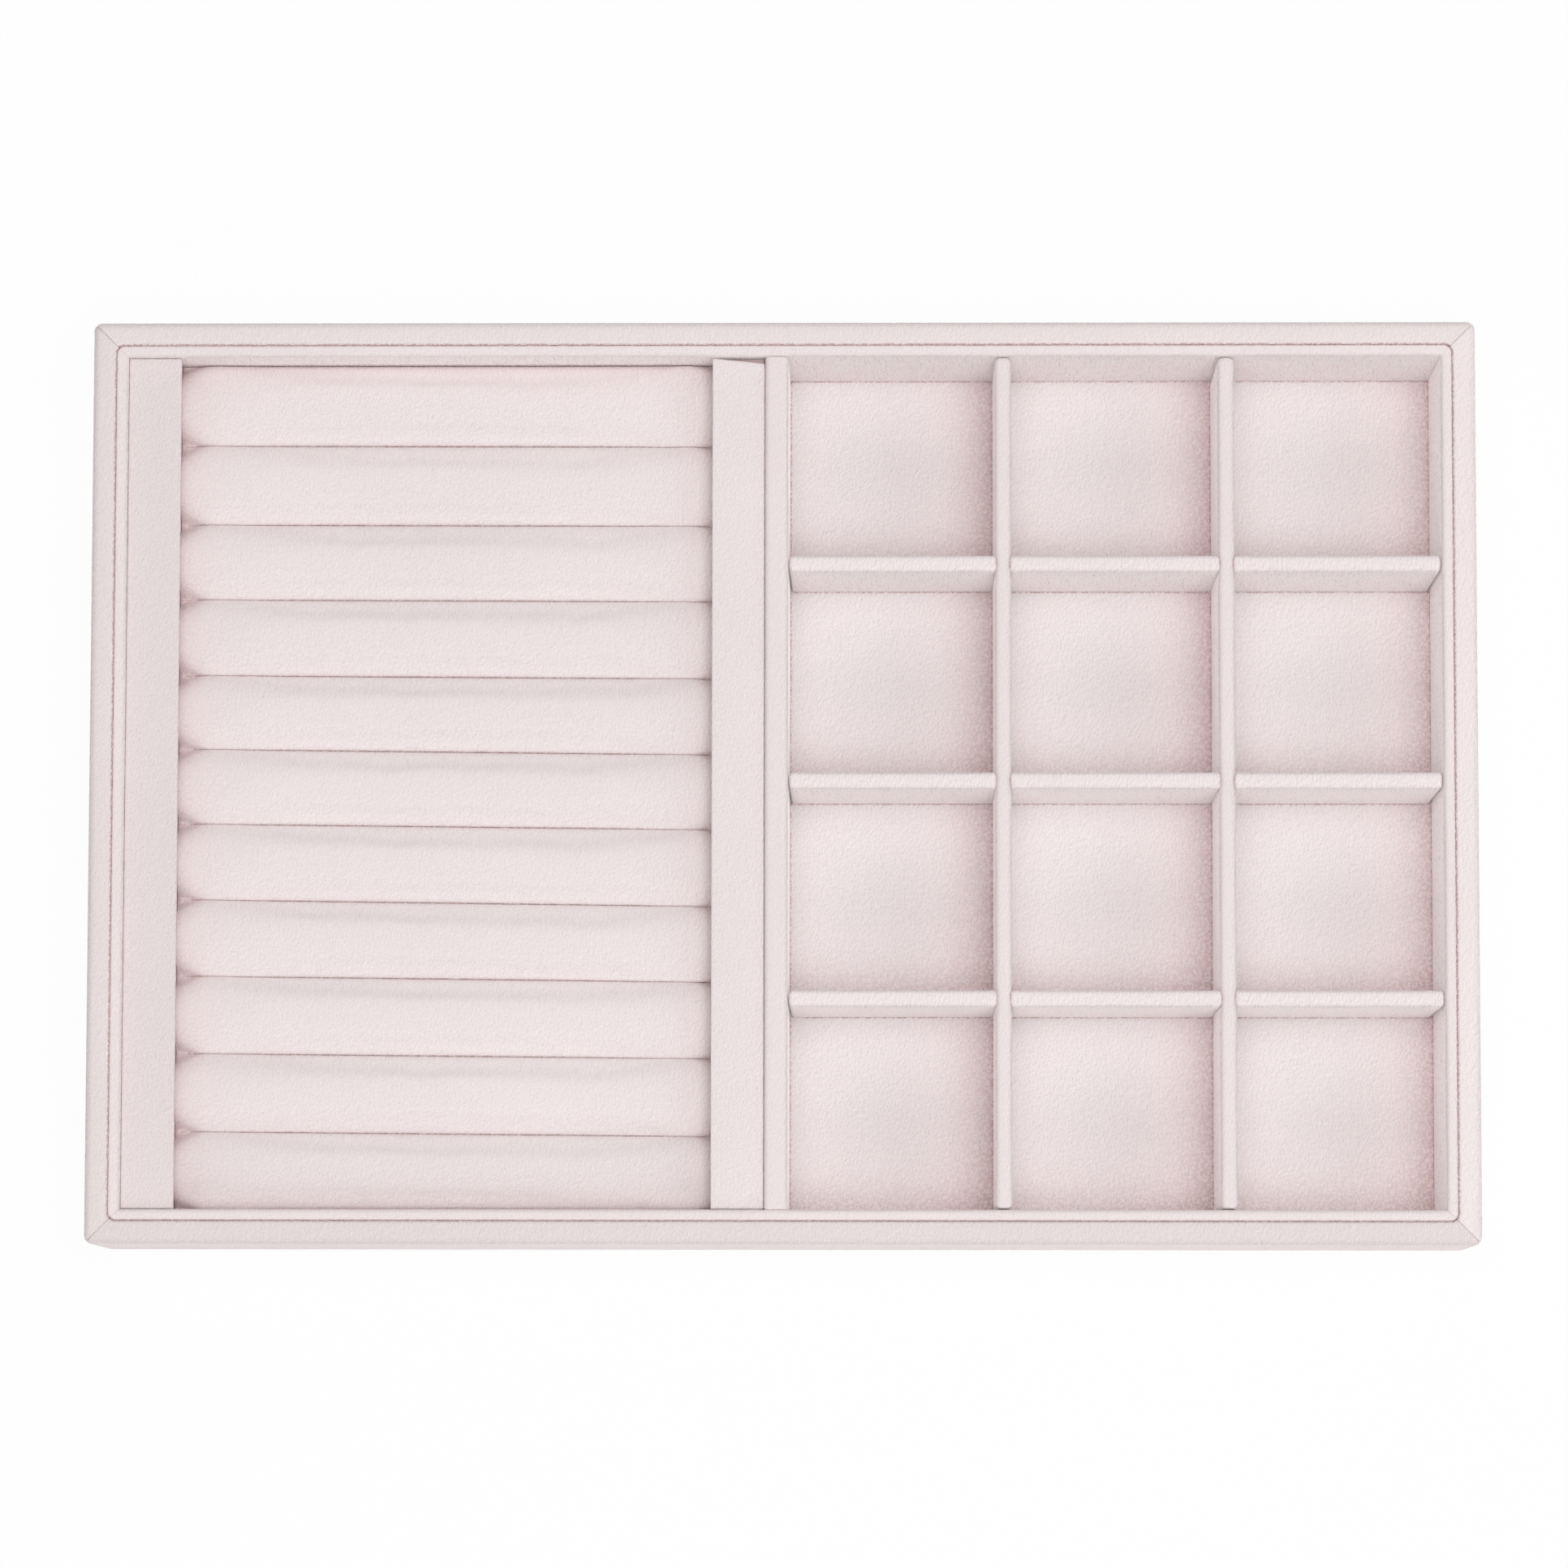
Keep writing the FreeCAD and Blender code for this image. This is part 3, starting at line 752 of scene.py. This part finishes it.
def frame_covers():
    """Velvet of the four walls, and of the four liners that stand inside them."""
    skin = VELVET_THICKNESS
    tall = cad_box[1].z
    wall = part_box("front_wall_velvet")[1].y - cad_box[0].y
    wall_end = tall - VELVET_RETURN
    wall_path = [(wall - skin, 0), (0, 0), (0, tall), (wall, tall), (wall, wall_end)]
    wall_outer, wall_outward = rounded_path(wall_path, WALL_EDGES, WALL_SECTION_STEP)
    wall_inner = [
        (wall - skin, skin),
        (skin, skin),
        (skin, tall - skin),
        (wall - skin, tall - skin),
        (wall - skin, wall_end),
    ]
    wall_depth = tall - wall_outer[:, 1]
    wall_crease = crease_fold(wall_depth) * (wall_outer[:, 0] > wall / 2)
    wall_upright = WALL_UPRIGHT_PAINTED_LIGHT * upright_painted_light_share(wall_depth) * (wall_outer[:, 0] < wall / 2)
    wall_skin = (wall_outer, wall_outward, np.array(wall_inner), wall_crease, wall_upright)
    wall_bends = ((0, wall), (CORNER_BEND, CORNER_BEND))

    liner_low, liner_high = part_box("front_liner_velvet")
    back = liner_low.y - cad_box[0].y + LINER_GAP
    face = liner_high.y - cad_box[0].y
    top = liner_high.z
    foot = liner_low.z
    liner_end = top - VELVET_RETURN
    liner_path = [(back, liner_end), (back, top), (face, top), (face, foot)]
    liner_outer, liner_outward = rounded_path(liner_path, LINER_EDGES, LINER_SECTION_STEP)
    liner_inner = [
        (back + skin, liner_end),
        (back + skin, top - skin),
        (face - skin, top - skin),
        (face - skin, foot),
    ]
    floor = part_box("floor_velvet")[1].z
    liner_depth = top - liner_outer[:, 1]
    liner_crease = np.where(
        liner_outer[:, 0] < (back + face) / 2,
        crease_fold(liner_depth),
        foot_fold(liner_outer[:, 1] - floor),
    )
    liner_upright = upright_painted_light_share(liner_depth)
    liner_skin = (liner_outer, liner_outward, np.array(liner_inner), liner_crease, liner_upright)
    liner_bends = ((back, face), (CORNER_BEND, 0))

    for side in SIDES:
        cover = mitred_cover(f"{side}_wall_cover", side, *wall_skin, wall_bends, WALL_CUT_EDGE)
        napped(cover, "wall", f"{side}_wall")
        dress(cover, "tray", "velvet", f"{side}_wall_velvet")
        cover = mitred_cover(f"{side}_liner_cover", side, *liner_skin, liner_bends, LINER_CUT_EDGE)
        fold_behind_rolls(cover)
        napped(cover, "liner", "liner")
        dress(cover, "tray", "velvet", f"{side}_liner_velvet")


def crossing_places(nodes, axis):
    return [sum(corner[axis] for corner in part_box(node)) / 2 for node in nodes]


def upright_covers():
    """Velvet of the partition, the long dividers and the cross dividers' spans between them."""
    low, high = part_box("partition_velvet")
    shell = saddle_shell(low, high, 1, PARTITION_EDGE, PARTITION_END)
    cover = closed_piece("partition_cover", *shell)
    napped(cover, "partition", "upright")
    dress(cover, "tray", "velvet", "partition_velvet")
    rows = crossing_places(CROSS_DIVIDERS, 1)
    for number, node in enumerate(LONG_DIVIDERS):
        low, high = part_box(node)
        shell = saddle_shell(low, high, 1, LONG_EDGE, LONG_END, rows, PINCH)
        cover = closed_piece(node.replace("velvet", "cover"), *shell)
        napped(cover, "long", "upright", number)
        dress(cover, "divider_grid", "velvet", node)
    for number, node in enumerate(CROSS_DIVIDERS):
        low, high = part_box(node)
        stops = [low.x]
        for long_node in LONG_DIVIDERS:
            long_low, long_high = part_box(long_node)
            stops += [long_low.x + CROSS_REACH, long_high.x - CROSS_REACH]
        stops.append(high.x)
        shells = []
        for start, stop in zip(stops[::2], stops[1::2]):
            span = (Vector((start, low.y, low.z)), Vector((stop, high.y, high.z)))
            shells.append(saddle_shell(*span, 0, CROSS_EDGE, CROSS_END, tucked=CROSS_TUCK))
        cover = closed_piece(node.replace("velvet", "cover"), *join_shells(shells))
        napped(cover, "cross", "cross", number, CROSS_NAP_CLUMPS)
        dress(cover, "divider_grid", "velvet", node)


def floor_lines(low, high, nodes, axis, shaded_side):
    """Places of the floor's grid along one axis, closer beside the uprights, how far each is from
    one, and from the next one on the given side, beside which shade is painted."""
    faces = [corner[axis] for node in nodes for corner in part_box(node)] + [low[axis], high[axis]]
    even = np.linspace(low[axis], high[axis], round((high[axis] - low[axis]) / FLOOR_STEP) + 1)
    near = np.concatenate([face + FLOOR_BESIDE for face in faces])
    free = [place for place in even if np.abs(near - place).min() > FLOOR_CLEAR]
    inside = [place for place in near if low[axis] <= place <= high[axis]]
    places = np.unique(np.concatenate((free, inside)))
    beyond = (np.array(faces) - places[:, None]) * shaded_side
    away = np.abs(beyond).min(1)
    ahead = np.where(beyond >= 0, beyond, np.inf).min(1)
    return places, away, ahead


def floor_cover():
    """Velvet of the compartments' floor, with a seam along each upright, and painted shade, darker
    and rosier, at the right and front edges of each compartment.
    """
    low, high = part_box("floor_velvet")
    x_places, x_away, x_ahead = floor_lines(low, high, LONG_DIVIDERS, 0, 1)
    y_places, y_away, y_ahead = floor_lines(low, high, CROSS_DIVIDERS, 1, -1)
    columns = len(x_places)
    rows = len(y_places)
    x, y = np.meshgrid(x_places, y_places)
    away = np.minimum(x_away[None, :], y_away[:, None])
    # Painted shadow, darker, and painted rosy shade at the right and front edges of each
    # compartment
    painted_shadow = np.exp(-x_ahead / FLOOR_PAINTED_SHADOW_LENGTH)[None, :] + np.exp(-y_ahead / FLOOR_PAINTED_SHADOW_LENGTH)[:, None]
    seam = FLOOR_SEAM_FOLD * eased(0.45 * MM, 0.05 * MM, away)
    fold = np.maximum(seam, FLOOR_PAINTED_SHADOW * painted_shadow)
    before = SHADE_FRONT * np.exp(-y_ahead / SHADE_LENGTH)
    shade = np.exp(-x_ahead / SHADE_LENGTH)[None, :] + before[:, None]
    top = np.stack((x, y, np.full_like(x, high.z)), -1).reshape(-1, 3)
    index = np.arange(rows * columns).reshape(rows, columns)
    rim = np.concatenate((index[0], index[1:, -1], index[-1, -2::-1], index[-2:0:-1, 0]))
    under = top[rim] * (1, 1, 0) + (0, 0, low.z)
    faces = strip_faces(rows, columns)
    first = len(top)
    count = len(rim)
    for k in range(count):
        after = (k + 1) % count
        faces.append((int(rim[k]), first + k, first + after, int(rim[after])))
    faces.append(tuple(range(first, first + count)))
    fold = np.concatenate((fold.ravel(), np.ones(count)))
    shade = np.concatenate((np.minimum(shade, 1).ravel(), np.ones(count)))
    cover = closed_piece("floor_cover", np.vstack((top, under)), faces, fold, shade=shade)
    napped(cover, "floor", "floor")
    dress(cover, "tray", "velvet", "floor_velvet")


def strip_covers():
    """The flat strips at the two ends of the rolls. The right one is cut askew at the back."""
    for number, side in enumerate(("left", "right")):
        low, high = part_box(f"{side}_cover_strip")
        low.y -= STRIP_SPREAD_LONG
        high.y += STRIP_SPREAD_LONG
        sign = 1 if side == "left" else -1
        outside = low.x - STRIP_SPREAD if side == "left" else high.x + STRIP_SPREAD
        wide = high.x - low.x + 2 * STRIP_SPREAD
        path = [(0, low.z), (0, high.z), (wide, high.z), (wide, low.z)]
        outline, _ = rounded_path(path, STRIP_EDGES, STRIP_SECTION_STEP)
        askew = 0.0 if side == "left" else STRIP_ASKEW
        count = round((high.y - low.y) / COVER_STEP)
        spread = np.linspace(low.y + STRIP_END, high.y - STRIP_END, count)[1:-1]
        ends = (low.y + STRIP_END_RUNS, (high.y - STRIP_END_RUNS)[::-1])
        stations = np.concatenate((ends[0], spread, ends[1]))
        # Painted shade, darker rose, on the strip's sides below its top
        edge_fold = eased(0.4 * MM, 1.1 * MM, high.z - outline[:, 1])
        loops = []
        for station in stations:
            run = min(station - low.y, high.y - station)
            drawn = round_in(run, STRIP_END) * CUT_DRAW
            share = (station - low.y) / (high.y - low.y)
            x = outside + sign * outline[:, 0]
            y = station - share**ASKEW_SHARPNESS * askew * (1 - outline[:, 0] / wide)
            z = np.maximum(outline[:, 1] - drawn, low.z)
            loops.append(np.stack((x, y, z), -1))
        fold = np.tile(edge_fold, len(stations))
        cover = closed_piece(f"{side}_strip_cover", *tube_shell(np.array(loops)), fold)
        napped(cover, "strip", f"{side}_strip", number)
        dress(cover, "ring_insert", "velvet", f"{side}_cover_strip")


def roll_shell(low, high, seams):
    """One padded roll between two seams, crowned along its top and pillowed at its ends."""
    start = low.x - ROLL_REACH - ROLL_SLACK
    stop = high.x + ROLL_REACH + ROLL_SLACK
    count = round((stop - start - 2 * ROLL_END_ROUND) / ROLL_STEP)
    spread = np.linspace(start + ROLL_END_ROUND, stop - ROLL_END_ROUND, count + 1)[1:-1]
    stations = np.concatenate((start + ROLL_END_RUNS, spread, (stop - ROLL_END_RUNS)[::-1]))
    over = np.sin(np.linspace(-math.pi / 2, math.pi / 2, ROLL_OVER_POINTS))
    sides = np.ones(ROLL_SIDE_POINTS)
    under = np.linspace(1, -1, ROLL_UNDER_POINTS + 2)[1:-1]
    across = np.concatenate((-sides, over, sides, under))
    up = np.linspace(0, 1, ROLL_SIDE_POINTS + 1)[:-1]
    height = np.concatenate((up, np.ones(ROLL_OVER_POINTS), up[::-1], 0 * under))
    loops = []
    folds = []
    for station in stations:
        share = (station - start) / (stop - start)
        back, front = (seam[0] + (seam[1] - seam[0]) * share for seam in seams)
        run = min(station - start, stop - station)
        near_end = max(0, 1 - run / ROLL_END_ROUND)
        sink = ROLL_END_SINK[0] if share < 0.5 else ROLL_END_SINK[1]
        corner = sink * (over * near_end) ** 2
        cut = (ROLL_END_CUT * near_end) ** 3
        crown = np.sqrt(np.maximum(1 - np.abs(over) ** 3 - cut - corner, 0))
        lift = np.concatenate((0 * sides, crown, 0 * sides, 0 * under))
        shoulder = high.z - ROLL_RISE - ROLL_END_DROP * sink * near_end**2
        y = (back + front) / 2 + ((back - front) / 2 + ROLL_SLACK) * across
        z = low.z + (shoulder - low.z) * height + (high.z - shoulder) * lift
        loops.append(np.stack((np.full_like(y, station), y, z), -1))
        # Painted shade, darker rose, in the corners at the roll's ends, and on its sides
        painted_shadow = near_end**1.5 * (ROLL_END_PAINTED_SHADOW[0] + ROLL_END_PAINTED_SHADOW[1] * over**2)
        seam = np.maximum(ROLL_SEAM_FOLD * eased(0.95, 0.995, np.abs(over)), painted_shadow)
        side = SIDE_PAINTED_SHADE * sides
        folds.append(np.concatenate((side, seam, side, np.full(len(under), SIDE_PAINTED_SHADE))))
    for share in ROLL_END_RINGS:
        for place, end in ((0, loops[0]), (len(loops), loops[-1])):
            middle = end.mean(0)
            loops.insert(place, middle + (end - middle) * share)
            folds.insert(place, np.full(len(end), SIDE_PAINTED_SHADE))
    return *tube_shell(np.array(loops)), np.array(folds)


def padded_out(points, faces, glued):
    """Where the points of closed cloth sleeves come to lie when padding fills them."""
    sleeves = closed_piece("sleeves", points, faces)
    group = sleeves.vertex_groups.new(name="glued")
    group.add(glued, 1.0, "REPLACE")
    cloth = sleeves.modifiers.new("padding", "CLOTH")
    cloth.settings.quality = PADDING_QUALITY
    cloth.settings.use_pressure = True
    cloth.settings.uniform_pressure_force = PADDING_PRESSURE
    cloth.settings.effector_weights.gravity = 0
    cloth.settings.vertex_group_mass = group.name
    cloth.point_cache.frame_end = PADDING_FRAMES
    for moment in range(1, PADDING_FRAMES + 1):
        bpy.context.scene.frame_set(moment)
    filled = sleeves.evaluated_get(bpy.context.evaluated_depsgraph_get())
    places = np.empty(len(points) * 3)
    filled.data.vertices.foreach_get("co", places)
    bpy.data.objects.remove(sleeves)
    bpy.context.scene.frame_set(1)
    return places.reshape(-1, 3)


def ring_roll_covers():
    """Sleeves of the ring rolls, filled with padding against each other."""
    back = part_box("ring_roll_01_sleeve")[1].y
    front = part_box(f"ring_roll_{ROLLS:02d}_sleeve")[0].y
    even = np.linspace(back, front, ROLLS + 1)
    seams = np.stack((even - SEAM_DRIFT_LEFT, even - SEAM_DRIFT_RIGHT), -1)
    low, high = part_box("ring_roll_01_sleeve")
    shells = [roll_shell(low, high, seams[k : k + 2]) for k in range(ROLLS)]
    points, faces, _ = join_shells(shells)
    points = np.array(points)
    glued = np.flatnonzero(points[:, 2] < low.z + GLUED_HEIGHT).tolist()
    moved = padded_out(points, faces, glued) - points
    distance = np.linalg.norm(moved, axis=1, keepdims=True)
    moved *= np.minimum(1, PADDING_CAP / np.maximum(distance, 1e-9))
    sleeves = zip(np.split(points, ROLLS), np.split(moved, ROLLS))
    for number, (sleeve, push) in enumerate(sleeves, 1):
        share = (sleeve[:, 0] - low.x) / (high.x - low.x)
        edges = seams[number - 1 : number + 1]
        behind, before = (edge[0] + (edge[1] - edge[0]) * share for edge in edges)
        filled = sleeve + push
        filled[:, 0] = np.clip(filled[:, 0], low.x - ROLL_REACH, high.x + ROLL_REACH)
        filled[:, 1] = np.clip(filled[:, 1], before, behind)
        filled[:, 2] = np.maximum(filled[:, 2], low.z)
        name = f"ring_roll_{number:02d}"
        cover = closed_piece(f"{name}_cover", filled, *shells[0][1:])
        smooth = cover.modifiers.new("fullness", "SUBSURF")
        smooth.levels = 1
        smooth.render_levels = 1
        bake_modifiers(cover)
        napped(cover, "roll", "roll", number)
        dress(cover, "ring_insert", "velvet", f"{name}_sleeve", f"{name}_foam")


def core_finishes():
    """Board, card, foam and felt of the pieces that the velvet covers."""
    finishes = {kind: fibre_finish(*looks) for kind, looks in STOCKS.items()}
    for name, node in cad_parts.items():
        kind = name.rsplit("_", 1)[-1]
        if kind in finishes:
            node.data.materials.clear()
            node.data.materials.append(finishes[kind])


def studio():
    """White floor and surround, five broad soft lights, and the camera."""
    floor_finish, paint = new_finish("studio_floor")
    seen = paint.node("ShaderNodeLightPath", output="Is Camera Ray")
    shine = paint.node("ShaderNodeEmission", {}, {"Color": WHITE, "Strength": 1.0})
    matt = paint.node("ShaderNodeBsdfDiffuse", {}, {"Color": STAGE_GREY})
    mixed = paint.node("ShaderNodeMixShader", {}, {0: seen * STAGE_SHINE, 1: matt, 2: shine})
    paint.node("ShaderNodeOutputMaterial", {}, {"Surface": mixed})
    bpy.ops.mesh.primitive_plane_add(size=STAGE_SIZE, location=(0, 0, -STAGE_DROP))
    floor = bpy.context.object
    floor.name = "studio_floor"
    floor.data.materials.append(floor_finish)

    world = bpy.data.worlds.new("studio")
    world.use_nodes = True
    world.node_tree.nodes.clear()
    air = Wire(world.node_tree)
    path = air.node("ShaderNodeLightPath")
    rays = path.socket.node.outputs
    camera_ray, glossy_ray, through_ray = (
        Wire(air.tree, rays[name])
        for name in ("Is Camera Ray", "Is Glossy Ray", "Is Transmission Ray")
    )
    white = air.node("ShaderNodeBackground", {}, {"Color": WHITE, "Strength": 1.0})
    ambient = air.node("ShaderNodeBackground", {}, {"Color": WHITE, "Strength": AMBIENT})
    shown = air.maths("MAXIMUM", camera_ray, air.maths("MAXIMUM", glossy_ray, through_ray))
    sky = air.node("ShaderNodeMixShader", {}, {0: shown, 1: ambient, 2: white})
    air.node("ShaderNodeOutputWorld", {}, {"Surface": sky})
    bpy.context.scene.world = world

    for label, size, energy, place in SOFT_LIGHTS:
        lamp = bpy.data.lights.new(label, "AREA")
        lamp.shape = "SQUARE"
        lamp.size = size
        lamp.energy = energy
        light = bpy.data.objects.new(label, lamp)
        light.location = place
        light.rotation_mode = "QUATERNION"
        light.rotation_quaternion = (-light.location).to_track_quat("-Z", "Y")
        bpy.context.scene.collection.objects.link(light)

    lens = bpy.data.cameras.new("photo_camera")
    lens.sensor_width = SENSOR_WIDTH
    lens.lens = LENS_LENGTH
    camera = bpy.data.objects.new("photo_camera", lens)
    target = Vector((*CAMERA_AIM, cad_box[1].z))
    stand = Vector(CAMERA_PLACE)
    look = (target - stand).normalized()
    right = (Vector((1, 0, 0)) - look * look.x).normalized()
    up = (-look).cross(right)
    turn = Matrix((right, up, -look)).transposed().to_4x4()
    camera.matrix_world = Matrix.Translation(stand) @ turn
    bpy.context.scene.collection.objects.link(camera)
    bpy.context.scene.camera = camera
    bpy.context.scene.view_settings.view_transform = "Standard"


frame_covers()
upright_covers()
floor_cover()
strip_covers()
ring_roll_covers()
core_finishes()
studio()
